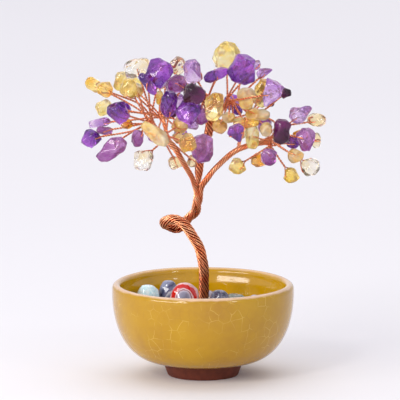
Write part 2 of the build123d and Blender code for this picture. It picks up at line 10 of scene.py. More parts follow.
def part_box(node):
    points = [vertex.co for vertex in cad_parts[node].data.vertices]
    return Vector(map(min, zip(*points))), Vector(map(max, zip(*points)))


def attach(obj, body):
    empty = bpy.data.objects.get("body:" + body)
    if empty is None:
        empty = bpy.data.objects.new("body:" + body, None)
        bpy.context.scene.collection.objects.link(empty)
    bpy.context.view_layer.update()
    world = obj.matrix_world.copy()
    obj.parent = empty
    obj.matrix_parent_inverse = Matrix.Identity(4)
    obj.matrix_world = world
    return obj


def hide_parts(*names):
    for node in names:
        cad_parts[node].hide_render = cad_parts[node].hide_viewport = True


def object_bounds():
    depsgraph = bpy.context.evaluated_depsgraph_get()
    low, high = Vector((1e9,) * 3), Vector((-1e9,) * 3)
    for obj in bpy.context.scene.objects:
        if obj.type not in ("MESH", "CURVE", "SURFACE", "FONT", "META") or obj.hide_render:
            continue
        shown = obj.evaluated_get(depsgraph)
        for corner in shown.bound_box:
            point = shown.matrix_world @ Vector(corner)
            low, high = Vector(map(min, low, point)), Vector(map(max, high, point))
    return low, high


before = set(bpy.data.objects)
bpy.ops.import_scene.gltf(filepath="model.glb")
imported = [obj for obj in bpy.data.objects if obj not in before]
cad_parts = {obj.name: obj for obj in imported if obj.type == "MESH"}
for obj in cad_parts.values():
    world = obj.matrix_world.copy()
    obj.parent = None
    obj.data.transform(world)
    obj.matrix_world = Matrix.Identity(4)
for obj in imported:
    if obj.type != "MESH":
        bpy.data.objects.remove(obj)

cad_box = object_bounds()
mm = 0.001
chance = np.random.default_rng(7)

# Reading and rounding the CAD meshes
weld = 0.002 * mm
flat_angle = radians(0.5)
bundle_cad_sides = 7
twig_cad_sides = 5
curve_steps = 12

# Wires of a bundle, of which every second one is thinner, sunk and darker with painted shade
wire_radius = 0.37 * mm
wire_sides = 8
limb_wires = 14
bough_wires = 10
sunk_depth = 0.3 * mm
sunk_radius = 0.25 * mm
sunk_shade = 0.9
bundle_pitch = 15 * mm
bundle_step = 0.7 * mm
bundle_swell = 1.04
# The dark core tube inside the wires, painted shade all over, which shows in their gaps
core_gap = 0.45 * mm
core_sides = 14

# The round trunk, in which each limb is pressed into a sector
trunk_radius = 2.62 * mm
trunk_core_gap = 1.6 * core_gap
trunk_pitch = 46 * mm
sector_angle = radians(54)
sector_groove = 0.08
sector_depth = 0.7

# The fork, at which the limbs leave each other, and their wires once they are free
parting_factor = 1.25
parting_rings = 4
free_wire_share = 0.82
free_sunk_shade = 0.6

# Twigs, each a pair of wires, the second of which is darker all over with painted shade
twig_wire_radius = 0.28 * mm
twig_wire_sides = 6
twig_pitch = 2.8 * mm
twig_step = 0.3 * mm
twig_root = 5 * mm
twig_wire_shade = 0.4

# A twig's end, where its wires part, lie over the chip and dip into it
split_room = 0.9 * mm
loop_reach = 3 * mm
loop_shares = (0.15, 0.45, 0.75, 1.0)
loop_seat = 0.9
dip_along = 0.5 * mm
dip_in = 0.8 * mm
ray_room = 20 * mm
thin_tries = 12

# Shade on a wire, which starts at this cosine to its outer side and is full a span below it
shade_turn = 0.55
shade_span = 0.8

# The trunk's foot, where the copper gets painted shade, darker towards the bottom
foot_shade_top = 61 * mm
foot_shade_bottom = 50 * mm
foot_shade_share = 0.62
foot_shade_tone = (124, 44, 22)

# Stones, which each round of wear draws together by one share and back by a lesser one
seed_span = 5
smoothing = 0.5
lump_level = 0.35
chip_voxel = 0.45 * mm
chip_back = 0.37
chip_lump = 0.3 * mm
chip_lump_size = 4 * mm
chip_hollow = 1.3 * mm
chip_hollow_size = 6.5 * mm
heart_least = 2.4 * mm
heart_most = 7 * mm

# Pebbles
pebble_voxel = 0.6 * mm
pebble_back = 0.36
pebble_wear = 55
pebble_lump = 0.25 * mm
pebble_lump_size = 6 * mm
pebble_patch = 6 * mm
pebble_vein = 1.6 * pebble_patch
red_reach = 6.9 * mm
grey_reach = 14 * mm
grey_aside = 3 * mm
band_weights = (1, 0.3, 1)
band_shake = 0.3

# Bowl, beside its box
belly_flat_radius = 20.5 * mm
belly_fullness = 2.3
bowl_wall = 4.4 * mm
lip_drop = 2.6 * mm
lip_flare = 1 * mm
flare_depth = 5 * mm
bowl_floor = 6 * mm
foot_height = 7.2 * mm
foot_radius = 17.7 * mm
foot_top_radius = 20 * mm
foot_wall = 3.4 * mm
foot_recess = 3.2 * mm
foot_edge = 0.5 * mm
arc_steps = 40
lip_steps = 14
turn_steps = 180
lip_wave = 0.35 * mm
wave_from = 0.8
wave_draw = 0.6

# Glaze: the crackle, the pale lip beside the rim, and the bare foot
crackle_size = 5.2 * mm
crackle_random = 0.8
crackle_width = 0.032
crackle_shake = 1.8 * mm
crackle_shake_size = 4 * mm
pale_below = 0.7 * mm
pale_above = 0.3 * mm
pale_wander = 1.4 * mm
pale_share = 0.85
pale_back_share = 0.5
pale_back = 40 * mm
pale_front = -10 * mm
bare_height = foot_height + 0.55 * mm
bare_wander = 0.9 * mm

# The photograph's framing, in its own pixels
frame_px = 400
axis_px = 203
floor_px = 374.6
crown_left_px = 81
crown_right_px = 327

# Camera, floor and light
view_tilt = radians(10.2)
camera_distance = 6
sensor_mm = 36
floor_width = 12
floor_cells = 4
lamp_target = 87 * mm
world_light = 0.6
world_shown = 1
backdrop_tone = (242, 241, 247)


# Points and lines taken from the frame
def solids_of(name):
    """The separate solids of a CAD node: corners, links between them, and end faces."""
    mesh = bmesh.new()
    mesh.from_mesh(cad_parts[name].data)
    bmesh.ops.remove_doubles(mesh, verts=mesh.verts, dist=weld)
    bmesh.ops.dissolve_limit(
        mesh, angle_limit=flat_angle, verts=mesh.verts, edges=mesh.edges
    )
    mesh.verts.index_update()
    unseen = set(mesh.verts)
    solids = []
    while unseen:
        island = [min(unseen, key=lambda vert: vert.index)]
        unseen.remove(island[0])
        for vert in island:
            for edge in vert.link_edges:
                other = edge.other_vert(vert)
                if other in unseen:
                    unseen.remove(other)
                    island.append(other)
        place = {vert: at for at, vert in enumerate(island)}
        links = [[place[e.other_vert(v)] for e in v.link_edges] for v in island]
        faces = {face for vert in island for face in vert.link_faces}
        faces = [[place[vert] for vert in face.verts] for face in faces]
        solids.append((np.array([tuple(vert.co) for vert in island]), links, faces))
    mesh.free()
    return solids


def rings_of(solid, sides, nearest_to):
    """The centres and radii of a loft's rings, from the end nearest to some points."""
    points, links, faces = solid
    caps = [face for face in faces if len(face) == sides]
    cap = min(caps, key=lambda face: least_gap(points[face].mean(axis=0), nearest_to))
    layer = list(cap)
    seen = set(layer)
    centres = []
    radii = []
    while layer:
        ring = points[layer]
        centres.append(ring.mean(axis=0))
        radii.append(np.linalg.norm(ring - centres[-1], axis=1).mean())
        ahead = {link for at in layer for link in links[at]} - seen
        seen |= ahead
        layer = list(ahead)
    return np.array(centres), np.array(radii)


def least_gap(point, others):
    """The distance from a point to the nearest of some others."""
    return np.linalg.norm(np.asarray(others) - point, axis=1).min()


def unit(vector):
    """A vector brought to length one."""
    return vector / np.linalg.norm(vector)


def smooth_line(points, step, rows=None):
    """A rounded line through the points in even steps, with rows of values carried along it."""
    points = np.asarray(points)
    padded = np.vstack([2 * points[0] - points[1], points, 2 * points[-1] - points[-2]])
    shares = np.linspace(0, 1, curve_steps, endpoint=False)[:, None]
    fine = []
    for a, b, c, d in zip(padded, padded[1:], padded[2:], padded[3:]):
        bend = (2 * a - 5 * b + 4 * c - d) * shares**2
        twist = (3 * b - a - 3 * c + d) * shares**3
        fine.append((2 * b + (c - a) * shares + bend + twist) / 2)
    fine = np.vstack(fine + [points[-1:]])
    gone = np.linalg.norm(np.diff(fine, axis=0), axis=1)
    gone = np.concatenate([[0], np.cumsum(gone)])
    even = np.linspace(0, gone[-1], max(3, round(gone[-1] / step)) + 1)
    line = np.column_stack([np.interp(even, gone, column) for column in fine.T])
    if rows is None:
        return line
    marks = gone[::curve_steps]
    rows = np.column_stack([np.interp(even, marks, column) for column in np.transpose(rows)])
    return line, rows


def line_frames(line, first):
    """Unit directions along a line, and sides square to it that turn as little as they can."""
    ways = np.gradient(line, axis=0)
    ways /= np.linalg.norm(ways, axis=1)[:, None]
    sides = []
    side = np.asarray(first, float)
    for way in ways:
        side = unit(side - way * (side @ way))
        sides.append(side)
    sides = np.array(sides)
    return ways, sides, np.cross(ways, sides)


def square_to(way):
    """Some unit vector square to a direction."""
    helper = np.eye(3)[np.argmin(np.abs(way))]
    return unit(helper - way * (helper @ way))


def ring_faces(rings, sides):
    """The faces between rings of points that follow each other."""
    faces = []
    for ring in range(rings - 1):
        low = ring * sides
        for at in range(sides):
            after = (at + 1) % sides
            faces.append((low + at, low + after, low + sides + after, low + sides + at))
    return faces


class Shape:
    """A mesh gathered from tubes and stones, with values kept for each of its points."""

    def __init__(self):
        self.points = []
        self.faces = []
        self.values = {}
        self.count = 0

    def add(self, points, faces, **values):
        """More points and faces, with one value or one row of values for each name."""
        self.points.append(points)
        self.faces.extend([[at + self.count for at in face] for face in faces])
        self.count += len(points)
        for name, value in values.items():
            value = np.asarray(value, float)
            if value.ndim == 0 or value.shape[0] != len(points):
                value = np.broadcast_to(value, (len(points),) + value.shape)
            self.values.setdefault(name, []).append(value)

    def tube(self, line, radius, sides, outward=None, least_shade=0.0):
        """A round tube along a line, with its share of painted shade.

        The share is full without outward directions. With them it is the least shade on the outer
        side, and full on the inner side, as painted shade between the wires.
        """
        _, across, up = line_frames(line, square_to(unit(line[1] - line[0])))
        turn = np.linspace(0, 2 * pi, sides, endpoint=False)
        out = across[:, None] * np.cos(turn)[:, None] + up[:, None] * np.sin(turn)[:, None]
        radius = np.broadcast_to(radius, len(line))[:, None, None]
        points = (line[:, None] + out * radius).reshape(-1, 3)
        faces = ring_faces(len(line), sides)
        faces.append(tuple(range(sides))[::-1])
        faces.append(tuple(range(len(points) - sides, len(points))))
        core = np.ones(len(points))
        # Painted shade, growing from each wire's outer side to its inner side
        if outward is not None:
            facing = (out * outward[:, None]).sum(axis=2)
            least_shade = np.broadcast_to(least_shade, len(line))[:, None]
            core = np.clip((shade_turn - facing) / shade_span, least_shade, 1).ravel()
        self.add(points, faces, core=core)

    def piece(self, name, nodes, slot, material):
        """The finished piece, cut to the CAD box, which rides on the root in its nodes' place."""
        points = np.vstack(self.points)
        points = np.clip(points, np.array(cad_box[0]), np.array(cad_box[1]))
        mesh = bpy.data.meshes.new(name)
        mesh.from_pydata(points, [], self.faces)
        for key, rows in self.values.items():
            rows = np.concatenate(rows)
            kind = "FLOAT_COLOR" if rows.ndim == 2 else "FLOAT"
            layer = mesh.attributes.new(key, kind, "POINT")
            layer.data.foreach_set("color" if rows.ndim == 2 else "value", rows.ravel())
        mesh.shade_smooth()
        mesh.materials.append(material)
        piece = bpy.data.objects.new(name, mesh)
        bpy.context.collection.objects.link(piece)
        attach(piece, "root")
        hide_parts(*nodes)
        return piece


# Node materials
def ink(red, green, blue):
    """A screen colour as the linear colour that a shader takes."""
    return tuple((part / 255) ** 2.2 for part in (red, green, blue)) + (1.0,)


class Graph:
    """A material's node tree, built by short calls."""

    def __init__(self, name):
        self.material = bpy.data.materials.new(name)
        self.material.use_nodes = True
        self.tree = self.material.node_tree
        self.tree.nodes.clear()
        self.place = self.node("TexCoord").outputs["Object"]

    def node(self, kind, sockets=(), **settings):
        """A node with its settings, and its sockets linked or set."""
        node = self.tree.nodes.new("ShaderNode" + kind)
        for key, value in settings.items():
            setattr(node, key, value)
        for key, value in dict(sockets).items():
            if isinstance(value, bpy.types.NodeSocket):
                self.tree.links.new(value, node.inputs[key])
            else:
                node.inputs[key].default_value = value
        return node

    def sum(self, operation, *values):
        """One arithmetic step."""
        sockets = dict(enumerate(values))
        return self.node("Math", sockets, operation=operation).outputs[0]

    def vector(self, operation, *values, out="Vector"):
        """One step of vector arithmetic."""
        sockets = dict(enumerate(values))
        return self.node("VectorMath", sockets, operation=operation).outputs[out]

    def span(self, value, start, end, first=0.0, last=1.0, **settings):
        """A number that goes from first to last while a value goes from start to end."""
        limits = {"From Min": start, "From Max": end, "To Min": first, "To Max": last}
        return self.node("MapRange", {"Value": value, **limits}, **settings).outputs[0]

    def noise(self, size, place=None, detail=2.0, roughness=0.5, distortion=0.0):
        """Noise whose lumps are about as large as the size."""
        sockets = {
            "Vector": place or self.place,
            "Scale": 1 / size,
            "Detail": detail,
            "Roughness": roughness,
            "Distortion": distortion,
        }
        return self.node("TexNoise", sockets).outputs[0]

    def ramp(self, factor, *stops):
        """A colour ramp from pairs of place and colour, or of place and grey."""
        node = self.node("ValToRGB", {"Fac": factor})
        marks = node.color_ramp.elements
        while len(marks) < len(stops):
            marks.new(0.5)
        for mark, (at, colour) in zip(marks, stops):
            mark.position = at
            mark.color = colour if isinstance(colour, tuple) else (colour,) * 3 + (1.0,)
        return node.outputs["Color"]

    def mix(self, factor, first, second):
        """One colour fading into another."""
        sockets = {0: factor, 6: first, 7: second}
        return self.node("Mix", sockets, data_type="RGBA").outputs[2]

    def value(self, name):
        """A value kept for each point, as a number."""
        return self.node("Attribute", attribute_name=name).outputs["Fac"]

    def colour(self, name):
        """A value kept for each point, as a colour."""
        return self.node("Attribute", attribute_name=name).outputs["Color"]

    def own_place(self):
        """The place shifted by each stone's seed, so that no two show the same pattern."""
        return self.vector("ADD", self.place, self.value("seed"))

    def bump(self, height, depth, strength=1.0):
        """A bumped normal."""
        sockets = {"Height": height, "Distance": depth, "Strength": strength}
        return self.node("Bump", sockets).outputs[0]

    def finish(self, **sockets):
        """The shader, from sockets whose names have underscores for spaces."""
        named = {key.replace("_", " "): value for key, value in sockets.items()}
        shader = self.node("BsdfPrincipled", named)
        self.node("OutputMaterial", {"Surface": shader.outputs[0]})
        return self.material


def copper(name, light, dark, core=(110, 26, 8)):
    """Drawn copper in two tones, with painted shade on the wires' inner sides, sunk wires and
    cores, and towards the trunk's foot.
    """
    graph = Graph(name)
    patches = graph.noise(4 * mm, detail=3)
    scratches = graph.noise(0.5 * mm, detail=4)
    colour = graph.mix(graph.ramp(patches, (0.35, 0.0), (0.65, 1.0)), ink(*light), ink(*dark))
    height = graph.node("SeparateXYZ", {0: graph.place}).outputs["Z"]
    # Painted shade, growing down the trunk towards its foot
    foot_shade = graph.span(height, foot_shade_top, foot_shade_bottom, last=foot_shade_share)
    colour = graph.mix(foot_shade, colour, ink(*foot_shade_tone))
    # Painted shade, as much as each point's share of it, in the painted shade tone
    colour = graph.mix(graph.value("core"), colour, ink(*core))
    return graph.finish(
        Base_Color=colour,
        Metallic=1.0,
        Roughness=graph.ramp(scratches, (0.3, 0.16), (0.8, 0.32)),
        Normal=graph.bump(scratches, 0.02 * mm, 0.4),
    )


def gem(name, transmission, milk, roughness, gloss, relief, veil, veil_share, stain, heart):
    """Polished chip stone: two tones that flow into each other, veils, and a deeper heart."""
    graph = Graph(name)
    moved = graph.own_place()
    cloud = graph.noise(5 * mm, moved, detail=3, distortion=0.6)
    wisps = graph.noise(2.2 * mm, moved, detail=5, roughness=0.62, distortion=2.2)
    stains = graph.noise(3.4 * mm, moved, detail=2, distortion=1.0)
    lumps = graph.noise(1.6 * mm, moved, detail=2)
    flow = graph.sum("MULTIPLY_ADD", cloud, 1.1, graph.value("along"))
    flow = graph.ramp(graph.sum("MULTIPLY", flow, 0.5), (0.36, 0.0), (0.66, 1.0))
    colour = graph.mix(flow, graph.colour("tone_a"), graph.colour("tone_b"))
    wisp = graph.ramp(wisps, (0.44, 0.0), (0.5, 1.0), (0.53, 0.0))
    wisp = graph.sum("MULTIPLY", wisp, veil_share)
    colour = graph.mix(wisp, colour, ink(*veil))
    stain_share = graph.sum("MULTIPLY", graph.ramp(stains, (0.54, 0.0), (0.66, 1.0)), 0.6)
    deep = graph.sum("SUBTRACT", graph.value("heart"), 0.3)
    deep = graph.sum("MULTIPLY_ADD", wisps, 0.6, deep)
    deep = graph.sum("MULTIPLY", graph.ramp(deep, (0.15, 0.0), (0.6, 1.0)), heart)
    stain_share = graph.sum("MAXIMUM", stain_share, deep)
    colour = graph.mix(stain_share, colour, ink(*stain))
    return graph.finish(
        Base_Color=colour,
        Roughness=roughness,
        IOR=1.54,
        Specular_IOR_Level=gloss,
        Transmission_Weight=transmission,
        Subsurface_Weight=milk,
        Subsurface_Radius=(1.0, 0.8, 0.8),
        Subsurface_Scale=3 * mm,
        Normal=graph.bump(lumps, 0.14 * mm, relief),
    )


def tumbled(name, main, second, vein):
    """A tumbled pebble in two tones with a few veins."""
    graph = Graph(name)
    moved = graph.own_place()
    cloud = graph.noise(pebble_patch, moved, detail=4, distortion=1.2)
    veins = graph.noise(pebble_vein, moved, detail=2, distortion=3.0)
    grain = graph.noise(0.7 * mm, moved, detail=4)
    colour = graph.mix(graph.ramp(cloud, (0.38, 0.0), (0.62, 1.0)), ink(*main), ink(*second))
    line = graph.ramp(veins, (0.47, 0.0), (0.5, 0.8), (0.53, 0.0))
    colour = graph.mix(line, colour, ink(*vein))
    speck = graph.sum("MULTIPLY", graph.ramp(grain, (0.45, 0.0), (0.7, 1.0)), 0.12)
    colour = graph.mix(speck, colour, ink(70, 66, 74))
    return graph.finish(
        Base_Color=colour,
        Roughness=0.16,
        Coat_Weight=0.5,
        Coat_Roughness=0.05,
        Normal=graph.bump(grain, 0.03 * mm, 0.3),
    )


def banded(name, centre, reach, bands):
    """A pebble of bands round an axis that runs back, each a share of the reach and a colour."""
    graph = Graph(name)
    shaken = graph.noise(4 * mm, detail=2)
    away = graph.vector("SUBTRACT", graph.place, tuple(centre))
    away = graph.vector("MULTIPLY", away, band_weights)
    away = graph.sum("MULTIPLY", graph.vector("LENGTH", away, out="Value"), 1 / reach)
    away = graph.sum("SUBTRACT", away, band_shake / 2)
    away = graph.sum("MULTIPLY_ADD", shaken, band_shake, away)
    colour = graph.ramp(away, *[(share, ink(*tone)) for share, tone in bands])
    return graph.finish(
        Base_Color=colour,
        Roughness=0.14,
        Coat_Weight=0.6,
        Coat_Roughness=0.04,
        Normal=graph.bump(graph.noise(1.5 * mm), 0.05 * mm, 0.3),
    )


def glaze_body(graph, patches, mottle):
    """The glaze's tone, in wide patches and a fine mottle, and a brighter tone inside the bowl,
    painted light where the inside lies in shade.
    """
    tone = graph.ramp(
        patches,
        (0.34, ink(188, 143, 0)),
        (0.52, ink(180, 134, 6)),
        (0.68, ink(172, 125, 26)),
    )
    tone = graph.mix(graph.ramp(mottle, (0.4, 0.0), (0.75, 0.3)), tone, ink(192, 150, 24))
    # Painted light: a brighter tone where the wall faces the bowl's axis, inside the bowl
    flat = graph.vector("MULTIPLY", graph.place, (1, 1, 0))
    normal = graph.node("NewGeometry").outputs["Normal"]
    facing = graph.vector("DOT_PRODUCT", flat, normal, out="Value")
    inside = graph.sum("MULTIPLY", graph.sum("LESS_THAN", facing, 0.0), 0.75)
    return graph.mix(inside, tone, ink(206, 156, 0))


def crackle_lines(graph, split, bowl_radius):
    """The crackle's lines, in cells laid round the wall, which fade in patches and at the back."""
    back = graph.sum("MULTIPLY", split.outputs["Y"], -1.0)
    angle = graph.sum("ARCTAN2", split.outputs["X"], back)
    around = graph.sum("MULTIPLY", angle, bowl_radius)
    laid = graph.node("CombineXYZ", {"X": around, "Y": split.outputs["Z"]}).outputs[0]
    shake = graph.node("TexNoise", {"Vector": graph.place, "Scale": 1 / crackle_shake_size})
    laid = graph.vector("MULTIPLY_ADD", shake.outputs["Color"], (crackle_shake,) * 3, laid)
    sockets = {"Vector": laid, "Scale": 1 / crackle_size, "Randomness": crackle_random}
    settings = {"feature": "DISTANCE_TO_EDGE", "voronoi_dimensions": "2D"}
    cells = graph.node("TexVoronoi", sockets, **settings).outputs[0]
    line = graph.ramp(cells, (0.0, 1.0), (crackle_width, 0.0))
    turned = graph.sum("MULTIPLY", graph.sum("ABSOLUTE", angle), 1 / pi)
    shown = graph.ramp(graph.noise(10 * mm, detail=3), (0.44, 0.06), (0.6, 1.0))
    shown = graph.sum("MULTIPLY", shown, graph.ramp(turned, (0.93, 1.0), (0.98, 0.0)))
    return graph.sum("MULTIPLY", line, shown)


def pale_lip(graph, split, rim_height):
    """The share of the pale lip, where the glaze runs thin, which is less at the back."""
    height = graph.sum("MULTIPLY_ADD", graph.noise(7 * mm), pale_wander, split.outputs["Z"])
    low, high = rim_height - pale_below, rim_height + pale_above
    lip = graph.span(height, low, high, interpolation_type="SMOOTHSTEP")
    near = graph.span(split.outputs["Y"], pale_back, pale_front, first=pale_back_share)
    return graph.sum("MULTIPLY", graph.sum("MULTIPLY", lip, near), pale_share)


def glaze(name):
    """Crackle glaze over the bowl, thin and pale at the lip, and bare clay at the foot."""
    graph = Graph(name)
    split = graph.node("SeparateXYZ", {0: graph.place})
    bowl_radius, _, rim_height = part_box("bowl")[1]
    patches = graph.noise(26 * mm, detail=3)
    mottle = graph.noise(3 * mm, detail=4)
    grain = graph.noise(0.6 * mm, detail=3)

    tone = glaze_body(graph, patches, mottle)
    lines = crackle_lines(graph, split, bowl_radius)
    bright = graph.ramp(graph.noise(9 * mm, detail=1), (0.46, 0.0), (0.54, 1.0))
    line_tone = graph.mix(bright, ink(150, 110, 30), ink(240, 212, 112))
    tone = graph.mix(graph.sum("MULTIPLY", lines, 0.5), tone, line_tone)
    tone = graph.mix(pale_lip(graph, split, rim_height), tone, ink(231, 195, 166))

    foot_line = graph.sum("MULTIPLY_ADD", graph.noise(9 * mm), bare_wander, split.outputs["Z"])
    bare = graph.sum("LESS_THAN", foot_line, bare_height)
    clay = graph.ramp(mottle, (0.3, ink(90, 38, 22)), (0.7, ink(112, 52, 34)))
    relief = graph.sum("MULTIPLY_ADD", lines, -0.5, patches)
    waves = graph.bump(relief, 0.12 * mm, 0.35)
    sockets = {"Height": grain, "Distance": 0.08 * mm, "Strength": 0.12, "Normal": waves}
    return graph.finish(
        Base_Color=graph.mix(bare, tone, clay),
        Roughness=graph.ramp(bare, (0.0, 0.11), (1.0, 0.72)),
        IOR=1.5,
        Coat_Weight=graph.sum("MULTIPLY_ADD", bare, -0.1, 0.1),
        Coat_Roughness=0.03,
        Coat_IOR=1.6,
        Normal=graph.node("Bump", sockets).outputs[0],
    )


def plaster(name):
    """Rough set plaster."""
    graph = Graph(name)
    lumps = graph.noise(2.5 * mm, detail=5)
    tone = graph.ramp(lumps, (0.3, ink(150, 146, 138)), (0.7, ink(196, 190, 178)))
    return graph.finish(
        Base_Color=tone, Roughness=0.85, Normal=graph.bump(lumps, 0.5 * mm, 0.6)
    )


def paper(name):
    """A pale sweep of paper, faintly mottled."""
    graph = Graph(name)
    mottle = graph.noise(400 * mm, detail=1)
    tone = graph.ramp(mottle, (0.3, ink(240, 238, 243)), (0.7, ink(243, 241, 245)))
    return graph.finish(Base_Color=tone, Roughness=0.9)


# Wire bundles of the trunk, its limbs and the boughs
def bundle_offsets(turn, share, radius):
    """Where a wire lies across its bundle: out from the trunk's axis, and round it.

    The share says how far the bundle is pressed into its sector of the round trunk.
    """
    around = (turn + pi) % (2 * pi) - pi
    outer = np.clip(around / (pi / 2), -1, 1)
    deep = np.clip(np.abs(around) / (pi / 2) - 1, 0, 1)
    reach = trunk_radius - wire_radius
    pressed = reach * (1 - sector_groove * outer**4) * (1 - sector_depth * deep)
    angle = sector_angle * outer
    round_reach = radius - wire_radius
    out = share * pressed * np.cos(angle) + (1 - share) * round_reach * np.cos(around)
    side = share * pressed * np.sin(angle) + (1 - share) * round_reach * np.sin(around)
    return out, side


def trunk_rows(centres, axis):
    """For each ring of a bundle, its share in the round trunk, and its way out from the axis."""
    count = len(axis)
    shares = np.zeros(len(centres))
    outs = np.zeros_like(centres)
    if count:
        shares = np.clip(1 - (np.arange(len(centres)) - count + 1) / parting_rings, 0, 1)
        outs[:count] = centres[:count] - axis
        outs[count:] = outs[count - 1]
    return np.column_stack([shares, outs])


def bundle_sides(line, share, outs):
    """Two directions across a bundle; in the trunk the first leads out from its axis."""
    ways, sides, _ = line_frames(line, square_to(unit(line[1] - line[0])))
    inside = np.flatnonzero(share >= 1)
    if len(inside):
        last = inside[-1] + 1
        away = outs[:last] - ways[:last] * (outs[:last] * ways[:last]).sum(axis=1)[:, None]
        sides[:last] = away / np.linalg.norm(away, axis=1)[:, None]
        sides[last:] = line_frames(line[last - 1 :], sides[last - 1])[1][1:]
    return sides, np.cross(ways, sides)


def wire_bundle(name, rings, material, wires, axis=()):
    """A CAD bundle redrawn as fine wires, and its line.

    Where a trunk's axis is given, the bundle's first rings lie beside it in the round trunk.
    """
    centres, radii = rings
    rows = np.column_stack([radii * bundle_swell, trunk_rows(centres, axis)])
    line, rows = smooth_line(centres, bundle_step, rows)
    radius, share, outs = rows[:, 0], rows[:, 1], rows[:, 2:]
    sides, ups = bundle_sides(line, share, outs)
    step = np.linalg.norm(line[1] - line[0])
    turned = np.cumsum(step / np.where(share >= 1, trunk_pitch, bundle_pitch))
    middle = line - share[:, None] * outs
    slimmed = free_wire_share + (1 - free_wire_share) * share
    least_shade = free_sunk_shade + (sunk_shade - free_sunk_shade) * share
    shape = Shape()
    for wire in range(wires):
        out, side = bundle_offsets(2 * pi * (wire / wires - turned), share, radius)
        lay = sides * out[:, None] + ups * side[:, None]
        outward = lay / np.linalg.norm(lay, axis=1)[:, None]
        # Every second wire lies deeper, thinner and with painted shade; all get painted shade on
        # their inner side
        deep = wire % 2
        lay = lay - deep * sunk_depth * outward
        thick = sunk_radius if deep else wire_radius * slimmed
        shape.tube(middle + lay, thick, wire_sides, outward, deep * least_shade)
    # The dark core tubes, painted shade all over, which show in the gaps between the wires
    shape.tube(line, radius - core_gap, core_sides)
    if len(axis):
        shape.tube(smooth_line(axis, bundle_step), trunk_radius - trunk_core_gap, core_sides)
    shape.piece(name + "_wires", [name], "copper_wire", material)
    return line


def bundle_rings(names, nearest_to):
    """The rings of some CAD bundles, from the ends nearest to some points."""
    solids = {name: solids_of(name)[0] for name in names}
    return {
        name: rings_of(solid, bundle_cad_sides, nearest_to) for name, solid in solids.items()
    }


# The trunk's axis lies amid its three limbs, up to the ring where they part
limbs = bundle_rings(("left_limb", "middle_limb", "right_limb"), [(0, 0, 0)])
shortest = min(len(centres) for centres, _ in limbs.values())
amid = np.mean([centres[:shortest] for centres, _ in limbs.values()], axis=0)
apart = np.linalg.norm(limbs["left_limb"][0][:shortest] - amid, axis=1)
trunk_axis = amid[: np.argmax(apart > parting_factor * apart[0])]

# The bundles in copper
bright_copper = copper("bright_copper", (248, 184, 140), (242, 140, 94))
limb_lines = [
    wire_bundle(name, rings, bright_copper, limb_wires, trunk_axis)
    for name, rings in limbs.items()
]
boughs = bundle_rings(
    ("crown_bough", "back_left_bough", "back_right_bough"), np.vstack(limb_lines)
)
bough_lines = [
    wire_bundle(name, rings, bright_copper, bough_wires) for name, rings in boughs.items()
]
bundle_points = np.vstack(limb_lines + bough_lines)


# Stones
def stone_skin(corners, voxel):
    """The closed skin round some corners, cut into even small faces."""
    mesh = bmesh.new()
    for corner in corners:
        mesh.verts.new(corner)
    made = bmesh.ops.convex_hull(mesh, input=mesh.verts)
    inner = [item for item in made["geom_interior"] if isinstance(item, bmesh.types.BMVert)]
    bmesh.ops.delete(mesh, geom=inner, context="VERTS")
    skin = bpy.data.meshes.new("skin")
    mesh.to_mesh(skin)
    mesh.free()
    holder = bpy.data.objects.new("skin", skin)
    bpy.context.collection.objects.link(holder)
    remesh = holder.modifiers.new("remesh", "REMESH")
    remesh.mode = "VOXEL"
    remesh.voxel_size = voxel
    grid = holder.evaluated_get(bpy.context.evaluated_depsgraph_get()).to_mesh()
    flat = np.empty(len(grid.vertices) * 3)
    grid.vertices.foreach_get("co", flat)
    faces = [tuple(face.vertices) for face in grid.polygons]
    bpy.data.objects.remove(holder)
    bpy.data.meshes.remove(skin)
    return flat.reshape(-1, 3), faces


def worn(points, faces, rounds, back):
    """The points after the edges between faces are worn round, with the size kept.

    Each round draws the points together and then partly back, and the box is restored.
    """
    low, high = points.min(axis=0), points.max(axis=0)
    pairs = {tuple(sorted(pair)) for face in faces for pair in zip(face, face[1:] + face[:1])}
    first, second = np.array(sorted(pairs)).T
    count = np.zeros(len(points))
    np.add.at(count, first, 1)
    np.add.at(count, second, 1)
    for share in (smoothing, -back) * rounds:
        total = np.zeros_like(points)
        np.add.at(total, first, points[second])
        np.add.at(total, second, points[first])
        points = points + share * (total / count[:, None] - points)
    least = points.min(axis=0)
    return low + (points - least) * (high - low) / np.ptp(points, axis=0)


def lumpy(points, size, height, seed, hollow_size=1.0, hollow=0.0):
    """The points moved by a smooth noise, and inward by a wider one, as broken stone is."""
    centre = points.mean(axis=0)
    shift = Vector((seed, -seed, 2 * seed))
    moved = []
    for point in points:
        out = unit(point - centre)
        lift = (noise.noise(Vector(point / size) + shift) - lump_level) * height
        lift += min(0, noise.noise(Vector(point / hollow_size) - shift)) * hollow
        moved.append(point + out * lift)
    return np.array(moved)


